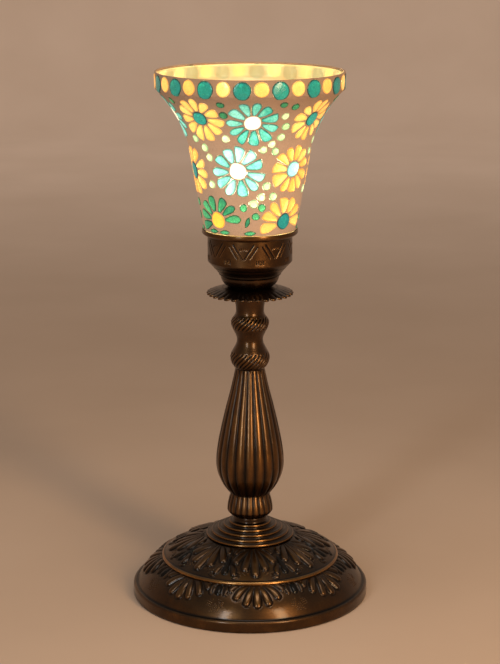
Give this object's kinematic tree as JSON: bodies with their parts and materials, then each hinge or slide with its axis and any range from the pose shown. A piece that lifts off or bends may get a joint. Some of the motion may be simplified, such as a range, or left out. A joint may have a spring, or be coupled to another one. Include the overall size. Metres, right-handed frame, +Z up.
{
  "type": "mosaic glass table lamp",
  "caption": "Table lamp with a round embossed brass base, a turned and reeded brass stem, and a bell-shaped glass shade covered in glass mosaic daisies over an upright bulb.",
  "frame": {"origin": "centre of the face the lamp stands on", "axes": "+Z up along the stem; -Y is the front, and the cable inlet is at the back on +Y"},
  "size_m": [0.18, 0.18, 0.4],
  "materials": {
    "antique_brass": "antique brown patina, worn bright on the high places",
    "weight_iron": "raw casting",
    "felt": "pressed felt",
    "black_rubber": "matt",
    "zinc_steel": "zinc plated",
    "holder_brass": "satin",
    "porcelain": "glazed porcelain, packed as a hard gloss material",
    "bright_brass": "bright",
    "bulb_nickel": "nickel plated",
    "bulb_black": "black glass",
    "opal_glass": "opal",
    "clear_glass": "clear",
    "tungsten": "wire",
    "shade_glass": "frosted inside",
    "grout": "fine sanded cement grout, packed as a matt material",
    "cream_glass": "art glass, slightly rippled",
    "pale_glass": "art glass, slightly rippled",
    "teal_glass": "art glass, slightly rippled",
    "turquoise_glass": "art glass, slightly rippled",
    "green_glass": "art glass, slightly rippled",
    "pale_green_glass": "art glass, slightly rippled",
    "amber_glass": "art glass, slightly rippled"
  },
  "bodies": {
    "lamp": {"base_dome": "antique_brass", "base_weight": "weight_iron", "felt_pad": "felt", "cable_grommet": "black_rubber", "threaded_tube": "zinc_steel", "tube_washers": "zinc_steel", "tube_nuts": "zinc_steel", "ring_stack": "antique_brass", "foot_collar": "antique_brass", "baluster": "antique_brass", "upper_column": "antique_brass", "drip_disc": "antique_brass", "shade_cup": "antique_brass", "lampholder_cap": "holder_brass", "lampholder_shell": "holder_brass", "porcelain_core": "porcelain", "terminal_screws": "bright_brass", "screw_shell": "bright_brass", "centre_contact": "bright_brass"},
    "seat": {"seat_ring": "black_rubber"},
    "shade": {"glass_shade": "shade_glass", "grout_layer": "grout", "rim_rounds_cream": "cream_glass", "rim_rounds_teal": "teal_glass", "petals_cream": "cream_glass", "petals_turquoise": "turquoise_glass", "petals_green": "green_glass", "centres_teal": "teal_glass", "centres_cream": "pale_glass", "centres_amber": "amber_glass", "dots_pale": "pale_green_glass", "dots_green": "green_glass", "leaves_green": "green_glass"},
    "bulb": {"bulb_contact": "bulb_nickel", "bulb_cap_insulator": "bulb_black", "bulb_cap": "bulb_nickel", "bulb_globe": "opal_glass", "bulb_stem": "clear_glass", "bulb_filament": "tungsten"}
  },
  "joints": [
    {"name": "shade_turn", "type": "hinge", "parent": "lamp", "child": "seat", "pos_m": [0, 0, 0.2805], "axis": [0, 0, 1], "continuous": true},
    {"name": "shade_lift", "type": "slide", "parent": "seat", "child": "shade", "axis": [0, 0, 1], "range_m": [0, 0.09]},
    {"name": "bulb_removal", "type": "slide", "parent": "lamp", "child": "bulb", "axis": [0, 0, 1], "range_m": [0, 0.13]}
  ]
}
